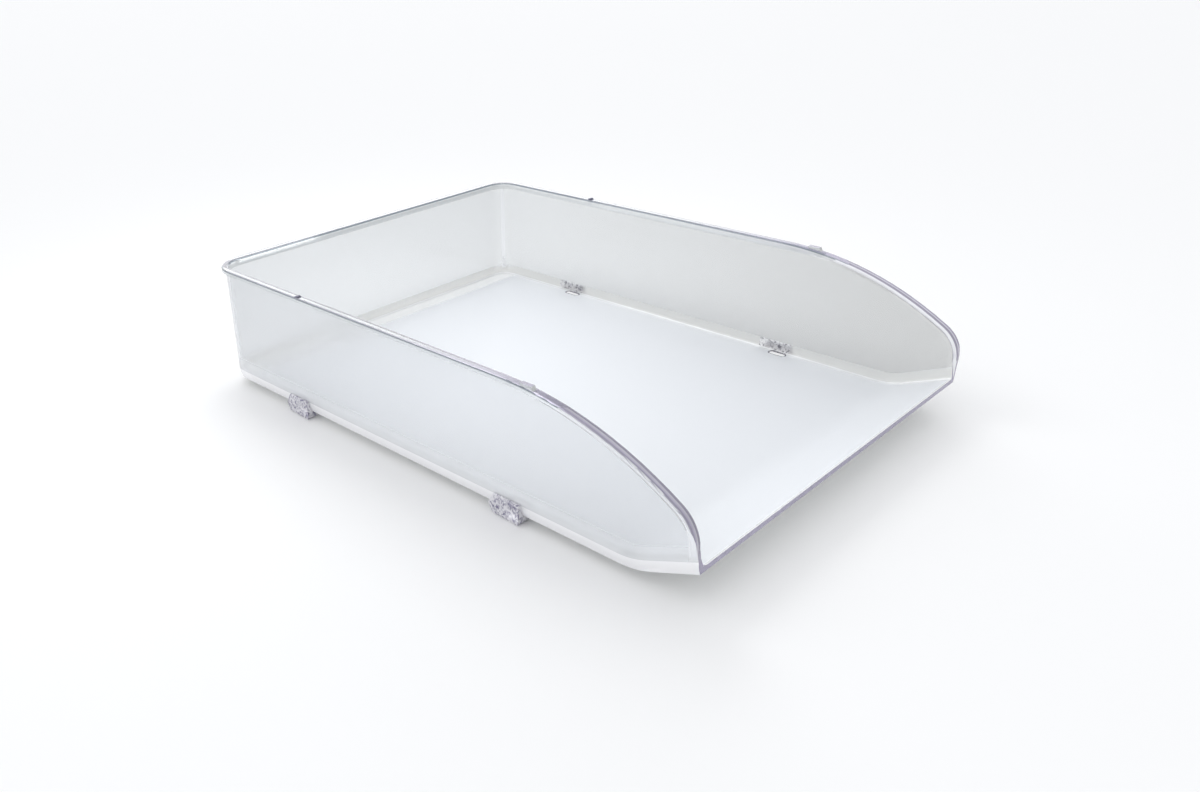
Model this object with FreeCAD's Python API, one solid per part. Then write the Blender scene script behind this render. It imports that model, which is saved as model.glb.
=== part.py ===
import FreeCAD, Part
import math
import os

from FreeCAD import Vector

# Open-front document tray in clear polystyrene: one moulded shell on four pressed-in feet.
# Millimetres, +Z up, +Y to the back, with the open front at -Y.
# The origin is at the middle of the plan, on the surface that the feet stand on.

# Overall sizes
rim_width = 255.0           # across the outside of the rim
rim_depth = 350.0           # outside of the rear rim to the front lip
shell_height = 71.8         # underside of the floor to the top of the rim
foot_drop = 5.0             # feet below the underside of the floor

# Walls and floor
wall_thickness = 2.4
floor_thickness = 2.5
draft_angle = 0.5           # degrees, every wall opens upwards by this
band_height = 6.0           # sloping band where the walls meet the floor
band_inset = 1.5
band_crown = 0.3            # how far the band's section bows out
floor_round = 2.2           # run of the rounding between floor and walls, inside
wall_corner_radius = 14.6   # in plan, outside of the wall at the top

# Rim along the whole top edge: back, sides, swoop and front ends
rim_overhang = 3.4          # lip beyond the outside of the wall
rim_lip = 2.1               # thickness of the lip
rim_flat = 0.8              # flat left under the lip, outside the hollow cove
rim_cove_bite = 0.3         # how far the cove runs into the wall
rim_edge_round = 0.8
rim_inner_round = 1.8
rim_corner_radius = 21.5    # in plan, outside of the rim

# Front: floor ramp and swoop of the side walls
ramp_length = 41.5
ramp_rise = 13.6
bend_radius = 45.0          # underside of the bend between floor and ramp
front_end_height = 26.7     # straight front end of the walls, above the underside of the floor
nose_radius = 19.9          # from the straight front end into the swoop

# Stacking: the feet of a tray above stand on the rim, just behind the stops
front_setback = 98.5        # front lip to the front faces of the front feet
rear_setback = 85.7         # rear rim to the front faces of the rear feet
stack_play = 1.0
pip_height = 1.0            # small rib across the rim, in front of each rear foot
pip_length = 3.0
stop_setback = 95.0         # front lip to the rear faces of the stops in front of the front feet
stop_height = 0.8           # longer ribs across the rim
stop_length = 7.0
stop_slope = 1.6            # run of the slope at the front of the stop
swoop_lead = 13.0           # how far behind the stop the swoop leaves the level rim

# Pressed-in feet
foot_length = 18.0
foot_lean = 3.2             # the rear end leans back by this, from the sole up to the floor
foot_front_out = 2.0        # outer face beyond the foot of the wall, at the front end
foot_rear_out = 0.9         # and at the rear end
cheek_above_band = 0.6      # top of the outer cheek above the band
foot_seat = 9.2             # flat seat under the floor, in from the outside of the base
foot_sole_in = 2.6          # inner edge of the sole, in from the outside of the base
foot_edge = 0.7             # chamfered upper edge of the cheek
sole_edge = 0.7             # chamfered outer edge of the sole
sole_trim = 0.5             # trimmed off below, so that the soles lie in one plane
toe_edge = 1.4              # chamfered front edge of the sole
seat_gap = 0.15             # clearance of the cheek along the band and wall
spigot_length = 12.0        # oval spigot pressed into the floor
spigot_width = 5.0
spigot_setback = 6.4        # front face of the foot to the middle of the spigot
spigot_margin = 0.5         # floor left between the spigot's hole and the inner band
spigot_fit = 0.1            # clearance of the spigot in its hole
spigot_below = 0.2          # top of the spigot below the top of the floor

# Places that follow from the sizes above
base_z = foot_drop
floor_z = base_z + floor_thickness
rim_z = base_z + shell_height
half_width = rim_width / 2
rear_y = rim_depth / 2
front_y = -rim_depth / 2
bend_y = front_y + ramp_length
front_foot_y = front_y + front_setback
rear_foot_y = rear_y - rear_setback
stop_y = front_y + stop_setback
swoop_y = stop_y + swoop_lead
lip_z = base_z + ramp_rise
draft = math.tan(math.radians(draft_angle))
diagonal = math.sqrt(0.5)
spare = rim_corner_radius   # how far cutting shapes run past what they cut
rim_line_radius = rim_corner_radius - rim_overhang
rim_x = half_width - rim_overhang


def wall_inset(z):
    """How far the outside of the walls lies in from the outside of the rim at a height."""
    return rim_overhang + (rim_z - z) * draft


def ramp_slope():
    """Angle of the ramp, which leaves the flat floor by the bend and runs straight to the lip."""
    fall = ramp_rise - 2 * bend_radius
    half_tangent = (math.sqrt(ramp_length ** 2 + ramp_rise * fall) - ramp_length) / fall
    return 2 * math.atan(half_tangent)


slope = ramp_slope()
bend_center = Vector(0, bend_y, base_z + bend_radius)


def polyline(points):
    return [Part.makeLine(a, b) for a, b in zip(points, points[1:])]


def arc(start, middle, end):
    return Part.Arc(start, middle, end).toShape()


def floor_line(radius, x=0.0):
    """Start, middle and end of the bend, and a point on the ramp past the lip."""
    start, middle, end = (
        bend_center + Vector(x, -radius * math.sin(turn), -radius * math.cos(turn))
        for turn in (0, slope / 2, slope)
    )
    run = end.y - front_y + spare
    return start, middle, end, end + Vector(0, -run, run * math.tan(slope))


def plan_edges(inset, z, front, corner=wall_corner_radius):
    """Left side, rear and right side in plan, inset from the outside of the rim."""
    x = half_width - inset
    back = rear_y - inset
    radius = corner + rim_overhang - inset
    center_x, center_y = x - radius, back - radius
    cut = radius * diagonal
    left = [Vector(-x, front, z), Vector(-x, center_y, z), Vector(-center_x - cut, center_y + cut, z)]
    left.append(Vector(-center_x, back, z))
    right = [Vector(-p.x, p.y, p.z) for p in reversed(left)]
    return [
        Part.makeLine(left[0], left[1]),
        arc(left[1], left[2], left[3]),
        Part.makeLine(left[3], right[0]),
        arc(right[0], right[1], right[2]),
        Part.makeLine(right[2], right[3]),
    ]


def drafted_block(inset):
    """Tapered block of the plan outline, running past the shell at the top, bottom and front."""
    wires = []
    for z in (base_z - spare, rim_z + spare):
        edges = plan_edges(wall_inset(z) + inset, z, front_y - spare)
        closing = Part.makeLine(edges[-1].Vertexes[-1].Point, edges[0].Vertexes[0].Point)
        wires.append(Part.Wire(edges + [closing]))
    return Part.makeLoft(wires, True, True)


def across(edges):
    """Solid made by running a closed side outline across the whole width."""
    solid = Part.Face(Part.Wire(edges)).extrude(Vector(2 * rim_width, 0, 0))
    solid.translate(Vector(-rim_width, 0, 0))
    return solid


def band_cutter(inset, radius, rounding=0.0):
    """Wedge along the bottom edge of a block, up the ramp, along the sides and round the back, which
    may leave a rounding of this run at its foot."""
    foot_height = bend_center.z - radius
    foot_inset = wall_inset(foot_height + band_height) + inset + band_inset
    x = half_width - foot_inset
    start, middle, end, tip = floor_line(radius, -x)
    right = [Vector(-p.x, p.y, p.z) for p in (start, middle, end, tip)]
    path = Part.Wire([
        Part.makeLine(tip, end),
        arc(end, middle, start),
        *plan_edges(foot_inset, foot_height, bend_y),
        arc(*right[:3]),
        Part.makeLine(right[2], right[3]),
    ])

    # Section at the tip of the ramp: out is -X, up is square to the ramp
    def place(out, up):
        return tip + Vector(-out, up * math.sin(slope), up * math.cos(slope))

    foot, top = place(0, 0), place(band_inset, band_height)
    crown = place(band_inset / 2 + band_crown, band_height / 2)
    face = [arc(foot, crown, top)]
    if rounding:
        lean = math.atan2(band_inset, band_height)
        half_turn = (math.pi / 2 + lean) / 2
        near = rounding * math.tan(half_turn) * (1 / math.sin(half_turn) - 1)
        foot, shoulder = place(-rounding, 0), place(rounding * math.sin(lean), rounding * math.cos(lean))
        hollow = place(-near * math.cos(half_turn), near * math.sin(half_turn))
        face = [arc(foot, hollow, shoulder), Part.makeLine(shoulder, top)]
    low, high = place(-band_inset, -band_height), place(2 * band_inset + rim_edge_round, 2 * band_height)
    outer_high, outer_low = place(spare, 2 * band_height), place(spare, -band_height)
    section = Part.Wire([
        Part.makeLine(low, foot),
        *face,
        *polyline([top, high, outer_high, outer_low, low]),
    ])
    return path.makePipeShell([section], True, False)


def swoop_points():
    """Top edge of the side walls: through the nose from the straight front end, then the swoop."""
    reach = swoop_y - front_y - nose_radius
    drop = shell_height - front_end_height
    swoop_radius = (reach ** 2 + drop ** 2 - nose_radius ** 2) / (2 * (drop - nose_radius))
    swoop_center = Vector(0, swoop_y, rim_z - swoop_radius)
    nose_center = Vector(0, front_y + nose_radius, rim_z - drop)
    joint = math.atan2(reach, nose_center.z - swoop_center.z)

    def on(center, radius, turn):
        return center + Vector(0, -radius * math.sin(turn), radius * math.cos(turn))

    nose = [on(nose_center, nose_radius, turn) for turn in (math.pi / 2, (math.pi / 2 + joint) / 2, joint)]
    return nose + [on(swoop_center, swoop_radius, joint * part) for part in (0.5, 0)]


def swoop_edges(points):
    return [arc(*points[:3]), arc(*points[2:])]


def side_outline():
    """Closed side outline of the tray: floor, ramp, front end, swoop and rim."""
    start, middle, end, _ = floor_line(bend_radius)
    swoop = swoop_points()
    rear = rear_y + spare
    return [
        Part.makeLine(Vector(0, rear, base_z), start),
        arc(start, middle, end),
        *polyline([end, Vector(0, front_y, lip_z), swoop[0]]),
        *swoop_edges(swoop),
        *polyline([swoop[-1], Vector(0, rear, rim_z), Vector(0, rear, base_z)]),
    ]


def outer_block(clearance=0.0):
    """The outside of the shell as a solid block, with its walls moved out by a clearance."""
    block = drafted_block(-clearance).common(across(side_outline()))
    return block.cut(band_cutter(-clearance, bend_radius))


def paper_space():
    """The space for papers, open at the top and the front."""
    radius = bend_radius - floor_thickness
    start, middle, end, tip = floor_line(radius)
    rear, above = rear_y + spare, rim_z + spare
    outline = [
        Part.makeLine(Vector(0, rear, floor_z), start),
        arc(start, middle, end),
        *polyline([end, tip, Vector(0, tip.y, above), Vector(0, rear, above), Vector(0, rear, floor_z)]),
    ]
    block = drafted_block(wall_thickness).common(across(outline))
    return block.cut(band_cutter(wall_thickness, radius, floor_round))


def top_edge(corner):
    """Edges of the rim's line from the left nose over the swoop, round the back to the right nose."""
    left = [Vector(-rim_x, p.y, p.z) for p in swoop_points()]
    right = [Vector(rim_x, p.y, p.z) for p in reversed(left)]
    return [
        *swoop_edges(left),
        *plan_edges(rim_overhang, rim_z, swoop_y, corner),
        arc(*right[:3]),
        arc(*right[2:]),
    ]


def rim_point(out, up, z):
    """Point of a rim section at the left front end, out from the wall and away from the tray."""
    return Vector(-rim_x - out, front_y - up, z)


def rim_lip_solid():
    """Overhanging lip with a rounded edge and a hollow cove below it, trimmed above the front lip."""
    front_top = swoop_points()[0].z
    path = [Vector(-rim_x, front_y, base_z), Vector(-rim_x, front_y, front_top)]
    ends = [Part.makeLine(*path), Part.makeLine(*[Vector(-p.x, p.y, p.z) for p in reversed(path)])]

    root = -wall_thickness / 2
    edge = rim_overhang - rim_edge_round
    edge_fall = rim_edge_round * (1 - diagonal)
    cove_start = rim_overhang - rim_flat
    cove = cove_start + rim_cove_bite
    cove_foot = -rim_lip - cove

    def place(out, up):
        return rim_point(out, up, base_z)

    section = Part.Wire([
        Part.makeLine(place(root, 0), place(edge, 0)),
        arc(
            place(edge, 0),
            place(rim_overhang - edge_fall, -edge_fall),
            place(rim_overhang, -rim_edge_round),
        ),
        *polyline([
            place(rim_overhang, -rim_edge_round),
            place(rim_overhang, -rim_lip),
            place(cove_start, -rim_lip),
        ]),
        arc(
            place(cove_start, -rim_lip),
            place(cove_start - cove * diagonal, cove_foot + cove * diagonal),
            place(-rim_cove_bite, cove_foot),
        ),
        *polyline([place(-rim_cove_bite, cove_foot), place(root, cove_foot), place(root, 0)]),
    ])
    lip = Part.Wire([ends[0], *top_edge(rim_line_radius), ends[1]]).makePipeShell([section], True, False)
    return lip.cut(under_ramp()).cut(rim_end_cutter())


def under_ramp():
    """Everything below the underside of the ramp."""
    _, _, end, tip = floor_line(bend_radius)
    low = base_z - spare
    return across(polyline([end, tip, Vector(0, tip.y, low), Vector(0, end.y, low), end]))


def rim_end_cutter():
    """What is taken off the lip at both front ends, so that it grows out of the sloping band."""
    x = half_width - wall_inset(base_z + band_height)
    _, _, end, tip = floor_line(bend_radius, -x)
    flare = band_inset / band_height
    height = spare / flare

    def place(out, up):
        return tip + Vector(-out, up * math.sin(slope), up * math.cos(slope))

    outline = polyline([
        place(-band_inset, 0),
        place(spare, height + band_height),
        place(2 * spare, height + band_height),
        place(2 * spare, 0),
        place(-band_inset, 0),
    ])
    left = Part.Face(Part.Wire(outline)).extrude(end - tip)
    return left.fuse(mirrored(left))


def rim_round_cutter():
    """What is taken off the inner edge of the rim to round it, fading out down the front ends."""
    inner, radius = -wall_thickness, rim_inner_round
    fall = radius * (1 - diagonal)
    z = swoop_points()[0].z
    foot = inner - radius * draft

    def place(out, up):
        return rim_point(out, up, z)

    section = Part.Wire([
        arc(place(foot, -radius), place(inner + fall, -fall), place(inner + radius, 0)),
        *polyline([
            place(inner + radius, 0),
            place(inner + radius, rim_lip),
            place(inner - rim_lip, rim_lip),
            place(inner - rim_lip, -radius),
            place(foot, -radius),
        ]),
    ])
    fade = Part.Face(section).extrude(Vector(0, -radius, lip_z + floor_thickness - z))
    cutter = Part.Wire(top_edge(wall_corner_radius)).makePipeShell([section], True, False)
    return cutter, fade, mirrored(fade)


def rib(side, outline_edges):
    """Low rib across the top of the rim, from an outline drawn in the plane of the wall's outside."""
    solid = Part.Face(Part.Wire(outline_edges)).extrude(Vector(rim_overhang - rim_edge_round, 0, 0))
    solid.translate(Vector(rim_x, 0, 0))
    return solid if side > 0 else mirrored(solid)


def pip(side):
    """Stop just in front of a rear foot of the tray above."""
    half = pip_length / 2
    y = rear_foot_y - stack_play - half
    root = rim_z - rim_lip / 2
    front, rear = Vector(0, y - half, rim_z), Vector(0, y + half, rim_z)
    return rib(side, [
        arc(front, Vector(0, y, rim_z + pip_height), rear),
        *polyline([rear, Vector(0, rear.y, root), Vector(0, front.y, root), front]),
    ])


def front_stop(side):
    """Stop just in front of a front foot of the tray above."""
    top, root = rim_z + stop_height, rim_z - rim_lip
    front = stop_y - stop_length
    return rib(side, polyline([
        Vector(0, stop_y, root),
        Vector(0, stop_y, top),
        Vector(0, front, top),
        Vector(0, front - stop_slope, root),
        Vector(0, stop_y, root),
    ]))


# The edges that the feet are set out from
wall_foot = half_width - wall_inset(base_z + band_height)
base_edge = wall_foot - band_inset
floor_edge = half_width - wall_inset(floor_z + band_height) - wall_thickness - band_inset
spigot_x = floor_edge - spigot_margin - spigot_fit - spigot_width / 2


def oval(face_y, growth, low, high):
    """Upright oval post on the right-hand side, at the spigot of the foot with this front face."""
    radius = spigot_width / 2 + growth
    reach = (spigot_length - spigot_width) / 2
    y = face_y + spigot_setback
    rear, front = y + reach, y - reach
    rear_right, rear_left = Vector(spigot_x + radius, rear, low), Vector(spigot_x - radius, rear, low)
    front_left, front_right = Vector(spigot_x - radius, front, low), Vector(spigot_x + radius, front, low)
    outline = Part.Wire([
        arc(rear_right, Vector(spigot_x, rear + radius, low), rear_left),
        Part.makeLine(rear_left, front_left),
        arc(front_left, Vector(spigot_x, front - radius, low), front_right),
        Part.makeLine(front_right, rear_right),
    ])
    return Part.Face(outline).extrude(Vector(0, 0, high - low))


def foot_section(y, out):
    """Outline of the foot across the tray, before the shell's outside is cut from it."""
    top = base_z + band_height + cheek_above_band
    outer = wall_foot + out
    inner = base_edge - foot_seat
    sole_inner = base_edge - foot_sole_in
    rake = (sole_inner - inner) / base_z
    points = [
        (inner, base_z),
        (sole_inner + rake * sole_trim, -sole_trim),
        (outer - sole_edge - sole_trim, -sole_trim),
        (outer, sole_edge),
        (outer, top - foot_edge),
        (outer - foot_edge, top),
        (inner, top),
    ]
    return Part.makePolygon([Vector(x, y, z) for x, z in points + points[:1]])


def right_foot(face_y, shell_outside):
    """Foot for the right-hand side: sole, outer cheek and an oval spigot up into the floor."""
    rear = face_y + foot_length
    sections = [foot_section(face_y, foot_front_out), foot_section(rear + foot_lean, foot_rear_out)]
    body = Part.makeLoft(sections, True, True)
    lean = foot_lean / foot_drop
    top = base_z + band_height + spare
    behind = across(polyline([
        Vector(0, rear - lean * spare, -spare),
        Vector(0, rear + foot_lean, base_z),
        Vector(0, rear + foot_lean - lean * (top - base_z), top),
        Vector(0, rear + rim_depth, top),
        Vector(0, rear + rim_depth, -spare),
        Vector(0, rear - lean * spare, -spare),
    ]))
    spigot = oval(face_y, 0, base_z - spigot_below, floor_z - spigot_below)
    ground = across(polyline([
        Vector(0, face_y - spare, toe_edge + spare),
        Vector(0, face_y + toe_edge, 0),
        Vector(0, rear + spare, 0),
        Vector(0, rear + spare, -spare),
        Vector(0, face_y - spare, -spare),
        Vector(0, face_y - spare, toe_edge + spare),
    ]))
    return body.cut(ground).cut(behind).cut(shell_outside).fuse(spigot).removeSplitter()


def mirrored(shape):
    return shape.mirror(Vector(0, 0, 0), Vector(1, 0, 0))


def tray_shell():
    shell = outer_block().fuse(rim_lip_solid()).cut(paper_space())
    for cutter in rim_round_cutter():
        shell = shell.cut(cutter)
    for side in (-1, 1):
        shell = shell.fuse(pip(side)).fuse(front_stop(side))
    for face_y in (front_foot_y, rear_foot_y):
        hole = oval(face_y, spigot_fit, base_z - spare, floor_z + spare)
        shell = shell.cut(hole).cut(mirrored(hole))
    return shell.removeSplitter()


os.makedirs("parts", exist_ok=True)
pieces = {"tray_shell": tray_shell()}
clear_outside = outer_block(seat_gap)
for end, face_y in (("front", front_foot_y), ("rear", rear_foot_y)):
    foot = right_foot(face_y, clear_outside)
    pieces[end + "_right_foot"] = foot
    pieces[end + "_left_foot"] = mirrored(foot)

for name, shape in pieces.items():
    shape.exportStep("parts/" + name + ".step")
    box = shape.optimalBoundingBox()
    size = [round(length, 2) for length in (box.XLength, box.YLength, box.ZLength)]
    print(name, "valid", shape.isValid(), "solids", len(shape.Solids), "size", size)
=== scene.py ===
# %% [markdown]
# # A clear document tray
# The object is one open-front letter tray, moulded in clear polystyrene, on four small clear feet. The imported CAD
# model is loaded as a fixed frame: every piece below sits exactly where its solid sits, in metres, with +Y to the
# back, +Z up and the origin on the surface that the feet stand on.

# %% Load the frame
import math

import bmesh
import bpy
from mathutils import Matrix, Vector


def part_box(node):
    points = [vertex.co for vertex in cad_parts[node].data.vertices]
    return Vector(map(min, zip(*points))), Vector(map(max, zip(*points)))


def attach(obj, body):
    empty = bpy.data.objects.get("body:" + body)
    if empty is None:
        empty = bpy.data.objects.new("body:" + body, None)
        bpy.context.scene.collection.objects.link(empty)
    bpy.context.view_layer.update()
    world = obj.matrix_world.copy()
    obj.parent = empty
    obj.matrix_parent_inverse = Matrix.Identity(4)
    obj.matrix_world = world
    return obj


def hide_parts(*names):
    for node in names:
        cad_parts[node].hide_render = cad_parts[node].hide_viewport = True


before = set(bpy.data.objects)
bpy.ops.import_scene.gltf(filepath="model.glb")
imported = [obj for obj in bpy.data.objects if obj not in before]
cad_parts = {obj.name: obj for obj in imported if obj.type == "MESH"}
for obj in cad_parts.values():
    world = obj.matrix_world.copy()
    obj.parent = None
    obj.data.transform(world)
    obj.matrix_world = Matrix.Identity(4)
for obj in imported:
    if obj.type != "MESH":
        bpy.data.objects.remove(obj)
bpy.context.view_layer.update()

MM = 0.001
shell_low, shell_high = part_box("tray_shell")
print("shell from", [round(v, 4) for v in shell_low], "to", [round(v, 4) for v in shell_high])

# %% [markdown]
# ## Camera
# The photograph looks down from the front left. Vanishing lines and the known proportions of the tray gave the
# angle, the distance and the focal length. The tray sits right of the optical axis and a little below it, so the
# frame is shifted, as a photographer does by cropping.

# %% Set the camera
IMAGE_WIDTH, IMAGE_HEIGHT = 1200, 792
azimuth, elevation, roll = (math.radians(turn) for turn in (-43.86, 23.908, -2.148))
aim = Vector((-22.306, 57.773, 14.608)) * MM
distance = 650.702 * MM
focal_px, axis_x, axis_y = 1059.407, 472.697, 357.164

back = Vector((math.sin(azimuth) * math.cos(elevation), -math.cos(azimuth) * math.cos(elevation), math.sin(elevation)))
right = Vector((math.cos(azimuth), math.sin(azimuth), 0))
up = back.cross(right)
right, up = right * math.cos(roll) + up * math.sin(roll), up * math.cos(roll) - right * math.sin(roll)

camera = bpy.data.objects.new("camera", bpy.data.cameras.new("camera"))
bpy.context.scene.collection.objects.link(camera)
camera.matrix_world = Matrix.Translation(aim + back * distance) @ Matrix((right, up, back)).transposed().to_4x4()
camera.data.sensor_width = 36
camera.data.lens = focal_px * camera.data.sensor_width / IMAGE_WIDTH
camera.data.shift_x = (IMAGE_WIDTH / 2 - axis_x) / IMAGE_WIDTH
camera.data.shift_y = (axis_y - IMAGE_HEIGHT / 2) / IMAGE_WIDTH
camera.data.clip_start, camera.data.clip_end = 0.01, 50
bpy.context.scene.camera = camera
print("lens", round(camera.data.lens, 2), "mm, shift", round(camera.data.shift_x, 4), round(camera.data.shift_y, 4))

# %% [markdown]
# ## Helpers for materials
# Colours are written as the sRGB hex values that a paint program shows, and one function turns them to the linear
# values that the renderer works in. One more function adds a node, with its settings and links in one line.

# %% Colour and node helpers
MIX_FIRST, MIX_SECOND, MIX_COLOUR = 6, 7, 2  # colour sockets of a Mix node, which share their names with others


def linear(hex_colour):
    """Linear RGBA of an sRGB colour such as 'F4F5F7'."""
    channels = [int(hex_colour[k:k + 2], 16) / 255 for k in (0, 2, 4)]
    return [c / 12.92 if c <= 0.04045 else ((c + 0.055) / 1.055) ** 2.4 for c in channels] + [1.0]


def add(tree, kind, links=(), settings=(), **inputs):
    """Adds a node. settings are its own properties, inputs its socket values, links (input, output) pairs."""
    node = tree.nodes.new(kind)
    for name, value in dict(settings).items():
        setattr(node, name, value)
    for name, value in inputs.items():
        node.inputs[name.replace("_", " ")].default_value = value
    for name, output in links:
        tree.links.new(node.inputs[name], output)
    return node


def empty_material(name):
    material = bpy.data.materials.new(name)
    material.use_nodes = True
    material.node_tree.nodes.clear()
    return material, material.node_tree


# %% [markdown]
# ## Clear polystyrene
# The tray is moulded in crystal polystyrene, which bends light strongly: its refractive index is 1.59. A moulded
# part is never quite even, so a slow wave in the surface and a roughness that wanders with it stand for the flow of
# the plastic. The clarity is the share of light that enters. The rest is scattered back, as the faint haze of real
# plastic does, and it stands in for light that a renderer loses on its way. From inside every face is fully clear,
# because haze met from inside would trap the light and turn the edges black. A volume colour would be the other way
# to tint the edges, but the faces of one piece have different finishes here, and Cycles goes on counting such a
# volume when the light leaves through another finish than it came in by.

# %% Clear polystyrene
FLOW, WAVE_HEIGHT = 60 * MM, 0.03 * MM
POLYSTYRENE_IOR = 1.59


def clear_polystyrene(name, colour, clarity, smooth, rough):
    """Clear plastic. clarity is the share of light that enters, and the roughness wanders from smooth to rough."""
    material, tree = empty_material(name)
    place = add(tree, "ShaderNodeTexCoord", settings={"name": "place"}).outputs["Object"]
    flow = add(tree, "ShaderNodeTexNoise", [("Vector", place)], Scale=1 / FLOW, Detail=2.0)
    waves = add(tree, "ShaderNodeBump", [("Height", flow.outputs[0])], Strength=1.0, Distance=WAVE_HEIGHT)
    gloss = add(
        tree, "ShaderNodeMapRange", [("Value", flow.outputs[0])], {"name": "gloss"}, To_Min=smooth, To_Max=rough,
    )
    inside = add(tree, "ShaderNodeNewGeometry", settings={"name": "inside"}).outputs["Backfacing"]
    enters = add(tree, "ShaderNodeMapRange", [("Value", inside)], {"name": "enters"}, To_Min=clarity, To_Max=1.0)
    shader = add(
        tree, "ShaderNodeBsdfPrincipled",
        [("Roughness", gloss.outputs[0]), ("Normal", waves.outputs[0]), ("Transmission Weight", enters.outputs[0])],
        {"name": "shader"}, Base_Color=linear(colour), IOR=POLYSTYRENE_IOR,
    )
    add(tree, "ShaderNodeOutputMaterial", [("Surface", shader.outputs[0])])
    return material


def second_colour(material, share, colour):
    """Mixes a second colour into a material. share runs from 0, its own colour, to 1, the second one."""
    tree = material.node_tree
    socket = tree.nodes["shader"].inputs["Base Color"]
    mixed = add(tree, "ShaderNodeMix", [("Factor", share)], {"data_type": "RGBA"})
    mixed.inputs[MIX_FIRST].default_value = socket.default_value
    mixed.inputs[MIX_SECOND].default_value = linear(colour)
    if socket.is_linked:
        tree.links.new(mixed.inputs[MIX_FIRST], socket.links[0].from_socket)
    tree.links.new(socket, mixed.outputs[MIX_COLOUR])


print("plastic flow waves every", round(FLOW / MM), "mm")

# %% [markdown]
# ## Finishes of the moulding
# One plastic looks different from place to place, because each place bends other light to the eye. So each region
# has its own finish. The large walls have a fine haze. The roundings of the rim get thin grey lines, a painted
# reflection of the darker parts of the room, and the cut edge of the swoop is painted violet grey: partly the tint of
# the long way the light has come through the plastic, partly painted shade for the dark of the room that it bends in.

# %% Walls, rim, edges and bands
# painted: the violet grey edge colour is partly the plastic's tint over a long way and partly painted shade; the rim's
# line colour is a painted reflection of the darker room
EDGE_COLOUR, RIM_COLOUR, RIM_REFLECTION_COLOUR = "A8A1BA", "E4E8EA", "65626F"

tray_finishes = {
    # cut edge of the wall, polished by the mould: a violet grey line along the swoop and the front lip, partly the
    # plastic's tint over a long way, partly painted shade
    "edge": clear_polystyrene("polystyrene_clear_edge_tint_and_painted_shade", EDGE_COLOUR, 0.35, 0.015, 0.05),
    # rounded sides of that edge: a thin light line beside the violet one, a painted highlight
    "inner_edge": clear_polystyrene("polystyrene_clear_inner_edge_painted_highlight", "F0F1F4", 0.6, 0.015, 0.05),
    # flat top of the rim, polished: a bright line between two dark ones where it starts to bend, the dark ones a
    # painted reflection of the darker room
    "rim": clear_polystyrene("polystyrene_clear_rim", RIM_COLOUR, 0.7, 0.015, 0.05),
    # outer face of the rim, polished: a pale line
    "rim_side": clear_polystyrene("polystyrene_clear_rim_side", RIM_COLOUR, 0.7, 0.015, 0.05),
    # roundings of the rim, polished: thin grey lines on both sides of the bright one, a painted reflection of the
    # darker room
    "rim_line": clear_polystyrene("polystyrene_clear_rim_painted_reflection", "79828A", 0.5, 0.015, 0.05),
    # inside of the rim, with the haze of the wall below it: pale grey
    "inner_rim": clear_polystyrene("polystyrene_clear_inner_rim", "D4D6D6", 0.3, 0.1, 0.16),
    # stacking pips, polished and too small to see through: dark dots, painted shade for the dark of the room they bend
    # in
    "pip": clear_polystyrene("polystyrene_clear_pip_painted_shade", "4A4866", 0.5, 0.015, 0.05),
    # bends of the rear corners: a little clearer than the walls
    "corner": clear_polystyrene("polystyrene_clear_corner", "E6E8EA", 0.85, 0.13, 0.17),
    # outer faces of the walls, with a fine haze: what lies behind shows softly, and painted light makes them paler at
    # the foot
    "wall": clear_polystyrene("polystyrene_clear_hazed_and_painted_light", "E6E8EB", 0.85, 0.16, 0.22),
    # inner faces of the walls, with more haze: the walls look pale grey from inside, and painted shade makes them
    # greyer towards the front
    "inner_wall": clear_polystyrene("polystyrene_clear_inner_haze_and_painted_shade", "E6E8E8", 0.72, 0.16, 0.22),
    # outside of the foot of the walls: a pale band, painted light for the light that comes through the floor
    "band": clear_polystyrene("polystyrene_clear_band_painted_light", "FCFCFE", 0.2, 0.1, 0.16),
    # inside of that band and underside of the floor: a soft grey band round the frosted floor
    "inner_band": clear_polystyrene("polystyrene_clear_inner_band", "DCDDDA", 0.5, 0.05, 0.12),
    # inside of the band at the feet, polished: the foot's swirls of light and dark are painted on it, as if seen
    # through
    "foot_behind": clear_polystyrene("polystyrene_clear_band_painted_foot_swirls", "F4F4F4", 0.5, 0.02, 0.06),
    # floor: clear at the walls, where its pale share is painted light over the shade under the tray; frosted inside
    "floor": clear_polystyrene("polystyrene_clear_frosted_and_painted_light", "E6E8E9", 0.3, 0.05, 0.1),
}
print("tray finishes:", list(tray_finishes))

# %% [markdown]
# ## Finishes that change along the tray
# Two dark lines run along the rim, at both sides of its flat top: a painted reflection of the darker room. On the
# swoop the outer half of that top is violet, above the lip, partly the tint of the longest way through the plastic and
# partly painted shade, and the inner half is paler. The violet fades into the level rim. Inside, the walls get painted
# shade, greyer towards the front. Outside, they get painted light, paler at the foot of the walls, just above the
# band.

# %% Places along the tray
RIM_FOOT, RIM_TOP = 72.8 * MM, 76.9 * MM
RIM_MIDDLE, RIM_LIGHT, RIM_DARK = 2.4 * MM, 0.7 * MM, 1.0 * MM
VIOLET_REAR, VIOLET_FRONT = 10 * MM, -75 * MM
LIP_TOP, SWOOP_FOOT = 24 * MM, 34 * MM
# painted shade: between these two places the inner walls grow greyer towards the front
SHADE_REAR, SHADE_FRONT = 160 * MM, -160 * MM
RAMP_START, RAMP_SLOPE = -142.6 * MM, 0.42
BAND_TOP, PAINTED_LIGHT_TOP = 12.5 * MM, 22 * MM
FOOT_CLARITY = 0.35
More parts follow.
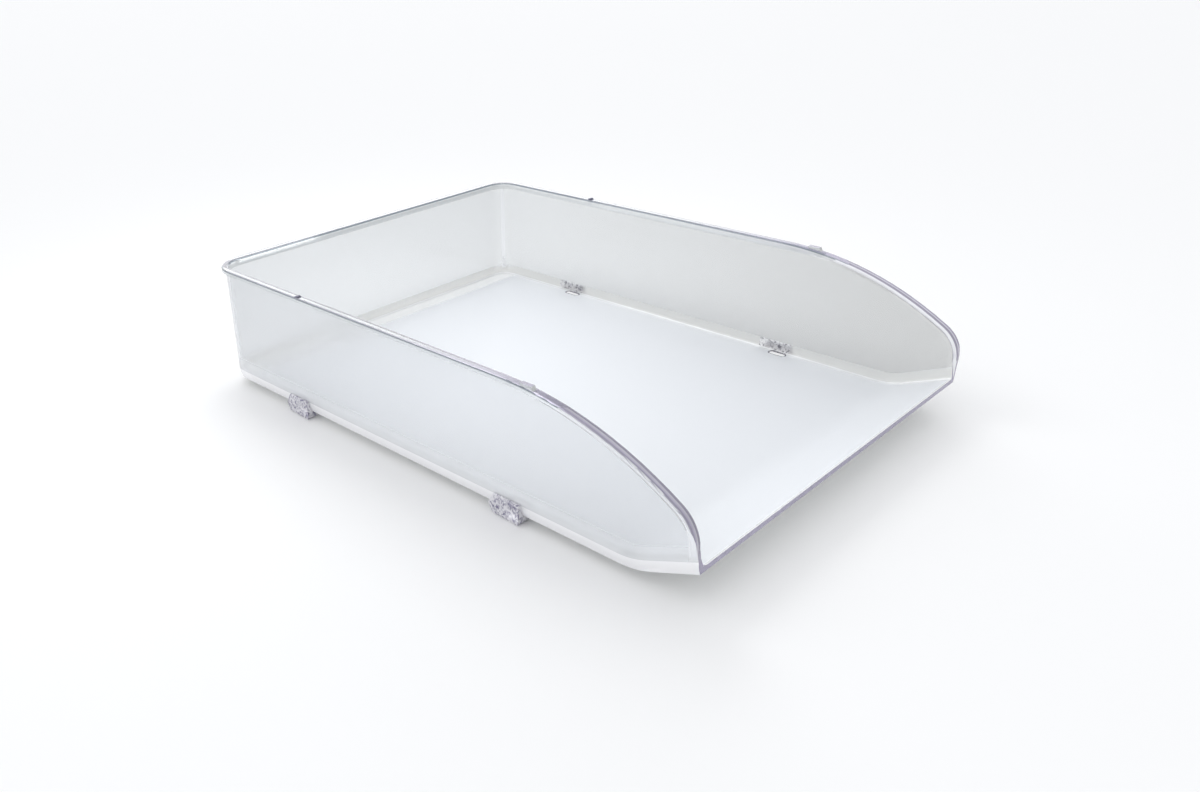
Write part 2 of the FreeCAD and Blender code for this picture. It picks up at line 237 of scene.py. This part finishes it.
# painted: the dark edge colour is a painted reflection of the darker room
PALE_EDGE_COLOUR, EDGE_REFLECTION_COLOUR, FRONT_SHADE_COLOUR = "C9C7D0", "8A8598", "C8C8C5"


def across_rim(tree, axes):
    """Distance from the middle of the rim's flat top, outwards."""
    aside = add(tree, "ShaderNodeMath", [(0, axes.outputs["X"])], {"operation": "ABSOLUTE"})
    from_side = add(tree, "ShaderNodeMath", [(0, aside.outputs[0])], {"operation": "SUBTRACT"})
    from_side.inputs[1].default_value = shell_high[0] - RIM_MIDDLE
    from_rear = add(tree, "ShaderNodeMath", [(0, axes.outputs["Y"])], {"operation": "SUBTRACT"})
    from_rear.inputs[1].default_value = shell_high[1] - RIM_MIDDLE
    nearest = [(0, from_side.outputs[0]), (1, from_rear.outputs[0])]
    return add(tree, "ShaderNodeMath", nearest, {"operation": "MAXIMUM"}).outputs[0]


def rim_reflection_lines(tree, across):
    """Share of the painted dark lines, reflections of the darker room, along the rim at both sides of its middle."""
    off = add(tree, "ShaderNodeMath", [(0, across)], {"operation": "ABSOLUTE"})
    lines = add(tree, "ShaderNodeMapRange", [("Value", off.outputs[0])], From_Min=RIM_LIGHT, From_Max=RIM_DARK)
    return lines.outputs[0]


def painted_light_at_foot(material):
    """Paints a wall paler towards its foot, which climbs with the ramp: painted light, as less light enters there."""
    tree = material.node_tree
    axes = add(tree, "ShaderNodeSeparateXYZ", [("Vector", tree.nodes["place"].outputs["Object"])])
    climb = add(
        tree, "ShaderNodeMapRange", [("Value", axes.outputs["Y"])],
        From_Min=RAMP_START, From_Max=RAMP_START - 1, To_Max=RAMP_SLOPE,
    )
    height = add(tree, "ShaderNodeMath", [(0, axes.outputs["Z"]), (1, climb.outputs[0])], {"operation": "SUBTRACT"})
    clarity = tree.nodes["enters"].inputs["To Min"]
    clearing = add(
        tree, "ShaderNodeMapRange", [("Value", height.outputs[0])],
        From_Min=BAND_TOP, From_Max=PAINTED_LIGHT_TOP, To_Min=FOOT_CLARITY, To_Max=clarity.default_value,
    )
    tree.links.new(clarity, clearing.outputs[0])


# the haze up to that height is painted light at the foot of the walls
print("dark lines", round(2 * RIM_LIGHT / MM, 1), "mm apart, haze up to", round(PAINTED_LIGHT_TOP / MM), "mm")

# %% Rim, swoop and walls
# painted light: the walls and their corners are made paler towards the foot
painted_light_at_foot(tray_finishes["wall"])
painted_light_at_foot(tray_finishes["corner"])

# painted: the rim's two dark lines are a painted reflection of the darker room, and its violet at the front partly
# painted shade
rim = tray_finishes["rim"]
tree = rim.node_tree
axes = add(tree, "ShaderNodeSeparateXYZ", [("Vector", tree.nodes["place"].outputs["Object"])])
front = add(tree, "ShaderNodeMapRange", [("Value", axes.outputs["Y"])], From_Min=VIOLET_REAR, From_Max=VIOLET_FRONT)
second_colour(rim, rim_reflection_lines(tree, across_rim(tree, axes)), RIM_REFLECTION_COLOUR)
second_colour(rim, front.outputs[0], EDGE_COLOUR)

# painted: on the swoop the edge gets a paler inner half and two dark lines, a painted reflection of the darker room
edge = tray_finishes["edge"]
tree = edge.node_tree
axes = add(tree, "ShaderNodeSeparateXYZ", [("Vector", tree.nodes["place"].outputs["Object"])])
across = across_rim(tree, axes)
swoop = add(tree, "ShaderNodeMapRange", [("Value", axes.outputs["Z"])], From_Min=LIP_TOP, From_Max=SWOOP_FOOT)
inner = add(tree, "ShaderNodeMapRange", [("Value", across)], From_Min=RIM_LIGHT, From_Max=-RIM_LIGHT)
pale = add(tree, "ShaderNodeMath", [(0, inner.outputs[0]), (1, swoop.outputs[0])], {"operation": "MULTIPLY"})
lines = add(tree, "ShaderNodeMath", [(0, swoop.outputs[0]), (1, rim_reflection_lines(tree, across))], {"operation": "MULTIPLY"})
second_colour(edge, pale.outputs[0], PALE_EDGE_COLOUR)
second_colour(edge, lines.outputs[0], EDGE_REFLECTION_COLOUR)

# painted shade: the inner faces of the walls grow greyer towards the front
inner_wall = tray_finishes["inner_wall"]
tree = inner_wall.node_tree
axes = add(tree, "ShaderNodeSeparateXYZ", [("Vector", tree.nodes["place"].outputs["Object"])])
forward = add(tree, "ShaderNodeMapRange", [("Value", axes.outputs["Y"])], From_Min=SHADE_REAR, From_Max=SHADE_FRONT)
second_colour(inner_wall, forward.outputs[0], FRONT_SHADE_COLOUR)
second_colour(inner_wall, tree.nodes["inside"].outputs["Backfacing"], "FFFFFF")
print("violet fades over", round((VIOLET_REAR - VIOLET_FRONT) / MM), "mm of the level rim")

# %% [markdown]
# ## Frosted floor
# The mould of the floor was spark eroded, so the floor inside is finely frosted up to a few millimetres from the
# walls, and it looks milky white. The real grain is about 0.05 mm. It is drawn ten times coarser, so that it shows.

# %% Frost on the floor and the ramp
FROST_HALF_WIDTH, FROST_REAR, FROST_FRONT = 118.6 * MM, 155.6 * MM, -174.2 * MM
FROST_FADE = 1.2 * MM
GRAIN = 0.5 * MM
FROST_CLARITY, FROST_COLOUR = 0.15, "E7EAEE"
FROST_SMOOTH, FROST_ROUGH = 0.35, 0.55


def frost(material):
    """Frosts a clear material inside the frost's limits."""
    tree = material.node_tree
    place, gloss, enters, shader = (tree.nodes[name] for name in ("place", "gloss", "enters", "shader"))
    axes = add(tree, "ShaderNodeSeparateXYZ", [("Vector", place.outputs["Object"])])
    side = add(tree, "ShaderNodeMath", [(0, axes.outputs["X"])], {"operation": "ABSOLUTE"})
    limits = (
        (side.outputs[0], FROST_HALF_WIDTH, FROST_HALF_WIDTH - FROST_FADE),
        (axes.outputs["Y"], FROST_REAR, FROST_REAR - FROST_FADE),
        (axes.outputs["Y"], FROST_FRONT, FROST_FRONT + FROST_FADE),
    )
    fades = [
        add(
            tree, "ShaderNodeMapRange", [("Value", along)], {"interpolation_type": "SMOOTHSTEP"},
            From_Min=clear, From_Max=full,
        )
        for along, clear, full in limits
    ]
    sides = add(tree, "ShaderNodeMath", [(k, fades[k].outputs[0]) for k in (0, 1)], {"operation": "MULTIPLY"})
    all_limits = [(0, sides.outputs[0]), (1, fades[2].outputs[0])]
    mask = add(tree, "ShaderNodeMath", all_limits, {"operation": "MULTIPLY"}).outputs[0]
    grain = add(tree, "ShaderNodeTexNoise", [("Vector", place.outputs["Object"])], Scale=1 / GRAIN, Detail=1.0)
    rough = add(tree, "ShaderNodeMapRange", [("Value", grain.outputs[0])], To_Min=FROST_SMOOTH, To_Max=FROST_ROUGH)
    finish = add(tree, "ShaderNodeMix", [("Factor", mask), ("A", gloss.outputs[0]), ("B", rough.outputs[0])])
    clarity = enters.inputs["To Min"]
    milk = add(tree, "ShaderNodeMapRange", [("Value", mask)], To_Min=clarity.default_value, To_Max=FROST_CLARITY)
    tree.links.new(shader.inputs["Roughness"], finish.outputs["Result"])
    tree.links.new(clarity, milk.outputs[0])
    second_colour(material, mask, FROST_COLOUR)


frost(tray_finishes["floor"])
print("frost", round(2 * FROST_HALF_WIDTH / MM, 1), "mm wide, grain", round(GRAIN / MM, 2), "mm")

# %% [markdown]
# ## Finishes of the feet
# A foot is a thick little block of the same plastic, so it bends light from all sides into swirls of light and dark.
# In a real foot the swirls are finer than the render can show. They are painted a little over 2 mm across, as a second
# colour and a ripple in the surface, and they are also painted on the band in front of the foot. The flat end of its
# plug lies in the floor, with a dark line of painted shade where the gap round it is.

# %% Swirls in the feet, plug and gap
SWIRL, RIPPLE = 2.4 * MM, 0.25 * MM
SWIRL_LIGHT, SWIRL_DARK = 0.42, 0.68

foot_finishes = {
    # thick polished block: light and dark swirls
    "foot": clear_polystyrene("polystyrene_clear_feet", "F4F3F8", 0.25, 0.02, 0.06),
    # end of the plug, polished and flush with the floor: a white oval
    "plug": clear_polystyrene("polystyrene_clear_plug", "FCFCFC", 0.05, 0.02, 0.06),
    # rounded border of that end: a dark line round the oval, painted shade of the gap
    "gap": clear_polystyrene("polystyrene_clear_gap_painted_shade", "7C7A88", 0.5, 0.02, 0.06),
}


def swirls(material, colour):
    """Adds dark swirls to a material, and returns their height."""
    tree = material.node_tree
    place = tree.nodes["place"].outputs["Object"]
    swirl = add(tree, "ShaderNodeTexNoise", [("Vector", place)], Scale=1 / SWIRL, Detail=2.0, Distortion=1.4)
    dark = add(tree, "ShaderNodeMapRange", [("Value", swirl.outputs[0])], From_Min=SWIRL_LIGHT, From_Max=SWIRL_DARK)
    second_colour(material, dark.outputs[0], colour)
    return swirl.outputs[0]


foot_tree = foot_finishes["foot"].node_tree
height = swirls(foot_finishes["foot"], "7F7A98")
ripple = add(foot_tree, "ShaderNodeBump", [("Height", height)], Strength=1.0, Distance=RIPPLE)
foot_tree.links.new(foot_tree.nodes["shader"].inputs["Normal"], ripple.outputs[0])
# painted: the foot's swirls of light and dark are drawn on the band in front of it
swirls(tray_finishes["foot_behind"], "77767E")
print("foot finishes:", list(foot_finishes))

# %% [markdown]
# ## Which face gets which finish
# Every face is sorted by where its middle is and which way it faces. The band is measured from the ramp's underside,
# so that it climbs with the ramp at the front, and the feet's places come from the frame.

# %% Sort the faces
CORNER_SIDE, CORNER_REAR = 100 * MM, 140 * MM
WALL_AREA, PLUG_AREA = 30 * MM * MM, 20 * MM * MM
PLUG_SIDE, PLUG_FOOT = 120.5 * MM, 6 * MM
FEET_SPANS = [(low[1], high[1]) for low, high in (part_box(node) for node in ("front_left_foot", "rear_left_foot"))]


def tray_finish(middle, facing, area):
    """Name of the finish of a face of the tray."""
    above_ramp = middle.z - RAMP_SLOPE * max(0, RAMP_START - middle.y)
    outward = facing.x * middle.x + facing.y * max(0, middle.y) > 0
    in_corner = abs(middle.x) > CORNER_SIDE and middle.y > CORNER_REAR
    if facing.y < -0.85 and middle.y < RAMP_START:
        return "edge"
    if above_ramp < BAND_TOP:
        if facing.z > 0.7:
            return "floor"
        if outward and facing.z > -0.7:
            return "band"
        by_foot = any(low < middle.y < high for low, high in FEET_SPANS) and facing.z > -0.7
        return "foot_behind" if by_foot else "inner_band"
    if middle.z > RIM_FOOT:
        if middle.z > RIM_TOP and middle.y > 0:
            return "pip"
        if facing.z > 0.9:
            return "rim"
        if outward:
            return "rim_side" if abs(facing.z) < 0.3 else "rim_line"
        return "rim_line" if facing.z > 0.55 else "inner_rim"
    if in_corner and (0.1 < abs(facing.x) < 0.99 if outward else 0.66 < abs(facing.x) < 0.8):
        return "corner"
    if abs(facing.z) < 0.2 and (in_corner or area > WALL_AREA):
        return "wall" if outward else "inner_wall"
    return "edge" if abs(facing.x) < 0.5 and facing.z > -0.2 and middle.y < 0 else "inner_edge"


def foot_finish(middle, facing, area):
    """Name of the finish of a face of a foot."""
    if abs(middle.x) > PLUG_SIDE or middle.z < PLUG_FOOT or facing.z < 0.1:
        return "foot"
    return "plug" if facing.z > 0.95 and area > PLUG_AREA else "gap"


print("feet from", [[round(v, 4) for v in span] for span in FEET_SPANS])

# %% [markdown]
# ## The moulding and its feet
# The solids have the right shape, but their meshes are loose triangles, and a clear thing shows every facet,
# because light bends at each one. So each piece starts from a copy of its solid: its doubles are merged, flat faces
# are joined, and the shading runs smoothly over the curved parts, weighted by face so that flat walls stay flat. The
# moulding is cut below the rim and beside the feet, where its finish changes. The feet get the small radius that a
# mould leaves on their corners, and a ring round the end of the plug for the gap.

# %% Cut the moulding and round the feet
SMOOTH_ANGLE = math.radians(32)
FOOT_RADIUS, GAP_WIDTH = 0.35 * MM, 0.8 * MM
CUT_TOP, CUT_SNAP = 14 * MM, 0.0001 * MM


def cut_faces(bm, faces, place, across):
    """Cuts faces by a plane through a place, with across as its normal."""
    edges = dict.fromkeys(edge for face in faces for edge in face.edges)
    corners = dict.fromkeys(corner for face in faces for corner in face.verts)
    bmesh.ops.bisect_plane(bm, geom=[*faces, *edges, *corners], dist=CUT_SNAP, plane_co=place, plane_no=across)


def cut_moulding(bm):
    """Cuts the upright faces below the rim, and near the floor at both ends of each foot."""
    cut_faces(bm, [face for face in bm.faces if abs(face.normal.z) < 0.2], (0, 0, RIM_FOOT), (0, 0, 1))
    for place in (place for span in FEET_SPANS for place in span):
        low = [face for face in bm.faces if face.calc_center_median().z < CUT_TOP and abs(face.normal.z) < 0.7]
        cut_faces(bm, low, (0, place, 0), (0, 1, 0))


def round_foot(bm):
    """Rounds the sharp corners of a foot and sets off a ring round the end of its plug."""
    sharp = [edge for edge in bm.edges if edge.calc_face_angle() > SMOOTH_ANGLE]
    bmesh.ops.bevel(
        bm, geom=sharp, offset=FOOT_RADIUS, segments=2, profile=0.5, affect="EDGES", material=-1, clamp_overlap=True,
    )
    ends = [
        face for face in bm.faces
        if foot_finish(face.calc_center_median(), face.normal, face.calc_area()) == "plug"
    ]
    bmesh.ops.inset_region(bm, faces=ends, thickness=GAP_WIDTH)


print("corners of the feet rounded to", round(FOOT_RADIUS / MM, 2), "mm")

# %% Make a clear piece from a solid
MERGE, FLAT_ANGLE = 0.002 * MM, math.radians(0.05)


def clear_piece(name, node, finishes, finish_of, shape):
    """A piece in clear plastic that stands for a solid. shape prepares its mesh, finish_of names a face's finish."""
    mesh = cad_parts[node].data.copy()
    mesh.name = name
    mesh.materials.clear()
    for material in finishes.values():
        mesh.materials.append(material)
    if mesh.has_custom_normals:
        mesh.attributes.remove(mesh.attributes["custom_normal"])
    bm = bmesh.new()
    bm.from_mesh(mesh)
    bmesh.ops.remove_doubles(bm, verts=bm.verts, dist=MERGE)
    bmesh.ops.dissolve_limit(bm, angle_limit=FLAT_ANGLE, verts=bm.verts, edges=bm.edges)
    shape(bm)
    for face in bm.faces:
        face.smooth = True
        finish = finish_of(face.calc_center_median(), face.normal, face.calc_area())
        face.material_index = list(finishes).index(finish)
    for edge in bm.edges:
        edge.smooth = len(edge.link_faces) == 2 and edge.calc_face_angle() < SMOOTH_ANGLE
    bm.to_mesh(mesh)
    open_edges = sum(not edge.is_manifold for edge in bm.edges)
    bm.free()
    piece = bpy.data.objects.new(name, mesh)
    bpy.context.scene.collection.objects.link(piece)
    piece.modifiers.new("flat_faces_stay_flat", "WEIGHTED_NORMAL").keep_sharp = True
    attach(piece, "root")
    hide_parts(node)
    print(name, len(mesh.polygons), "faces,", open_edges, "open edges")


# %% The tray and its four feet
clear_piece("moulded_tray", "tray_shell", tray_finishes, tray_finish, cut_moulding)
for place in ("front_left", "front_right", "rear_left", "rear_right"):
    clear_piece(f"pressed_foot_{place}", f"{place}_foot", foot_finishes, foot_finish, round_foot)

# %% [markdown]
# ## Studio
# The tray was photographed on white, so the floor is a plain sheet of pale paper. A small soft box hangs above the
# rear of the tray, where the floor is brightest.

# %% Floor and soft box
FLOOR_HALF = 30.0
BOX_SIDE, BOX_POWER = 0.2, 0.36
BOX_PLACE, BOX_AIM = Vector((0, 0.16, 0.3)), Vector((0, 0.12, 0))

floor_mesh = bpy.data.meshes.new("studio_floor")
bm = bmesh.new()
bmesh.ops.create_grid(bm, x_segments=1, y_segments=1, size=FLOOR_HALF)
bm.to_mesh(floor_mesh)
bm.free()
floor = bpy.data.objects.new("studio_floor", floor_mesh)
bpy.context.scene.collection.objects.link(floor)
floor_paper, tree = empty_material("backdrop_paper_matt")
paper = add(tree, "ShaderNodeBsdfPrincipled", Base_Color=linear("F4F4F4"), Roughness=0.9)
add(tree, "ShaderNodeOutputMaterial", [("Surface", paper.outputs[0])])
floor_mesh.materials.append(floor_paper)

soft_box = bpy.data.objects.new("soft_box", bpy.data.lights.new("soft_box", "AREA"))
soft_box.data.shape = "RECTANGLE"
soft_box.data.size, soft_box.data.size_y = BOX_SIDE, BOX_SIDE
soft_box.data.energy = BOX_POWER
soft_box.location = BOX_PLACE
soft_box.rotation_euler = (BOX_AIM - BOX_PLACE).to_track_quat("-Z", "Y").to_euler()
soft_box.visible_camera = False
bpy.context.scene.collection.objects.link(soft_box)
print("soft box", round(soft_box.location.z - shell_high[2], 3), "m above the rim")

# %% [markdown]
# ## Room
# A clear thing shows only the light that it bends, so the room is not even: dimmer at the horizon than overhead,
# brighter at the rear left, and with a soft glow behind the far corner, which shines through the walls.

# %% Pale room
HORIZON, ZENITH = 0.79, 1.13
BRIGHT_SIDE, DIMMEST, BRIGHTEST = (-0.5, 0.85, 0), 0.72, 1.28
GLOW_SIDE, GLOW_BORDER, GLOW = (0.65, 0.74, 0.17), 0.85, 1.6

room = bpy.data.worlds.new("pale_room")
bpy.context.scene.world = room
room.use_nodes = True
sky = room.node_tree
sky.nodes.clear()
direction = add(sky, "ShaderNodeTexCoord").outputs["Generated"]
axes = add(sky, "ShaderNodeSeparateXYZ", [("Vector", direction)])
rise = add(sky, "ShaderNodeMapRange", [("Value", axes.outputs["Z"])], To_Min=HORIZON, To_Max=ZENITH)
towards_bright = add(sky, "ShaderNodeVectorMath", [(0, direction)], {"operation": "DOT_PRODUCT"})
towards_bright.inputs[1].default_value = BRIGHT_SIDE
side = add(
    sky, "ShaderNodeMapRange", [("Value", towards_bright.outputs["Value"])],
    From_Min=-1.0, To_Min=DIMMEST, To_Max=BRIGHTEST,
)
level = add(sky, "ShaderNodeMath", [(0, rise.outputs[0]), (1, side.outputs[0])], {"operation": "MULTIPLY"})
towards_glow = add(sky, "ShaderNodeVectorMath", [(0, direction)], {"operation": "DOT_PRODUCT"})
towards_glow.inputs[1].default_value = GLOW_SIDE
glow = add(
    sky, "ShaderNodeMapRange", [("Value", towards_glow.outputs["Value"])], {"interpolation_type": "SMOOTHSTEP"},
    From_Min=GLOW_BORDER, To_Max=GLOW,
)
strength = add(sky, "ShaderNodeMath", [(0, level.outputs[0]), (1, glow.outputs[0])], {"operation": "ADD"})
light = add(sky, "ShaderNodeBackground", [("Strength", strength.outputs[0])], Color=linear("FCFDFF"))
add(sky, "ShaderNodeOutputWorld", [("Surface", light.outputs[0])])
print("room from", HORIZON, "at the horizon to", ZENITH, "overhead")

# %% [markdown]
# ## Light inside the plastic
# Light runs to and fro inside clear plastic many times before it comes out. With the usual limits it is given up on
# the way, and the edges turn black, so more bounces are allowed. The Standard view keeps white paper white.

# %% Bounces and view
ALL_BOUNCES, CLEAR_BOUNCES = 40, 32

scene = bpy.context.scene
scene.cycles.max_bounces = ALL_BOUNCES
scene.cycles.glossy_bounces = CLEAR_BOUNCES
scene.cycles.transmission_bounces = CLEAR_BOUNCES
scene.view_settings.view_transform = "Standard"
print("bounces up to", scene.cycles.max_bounces)
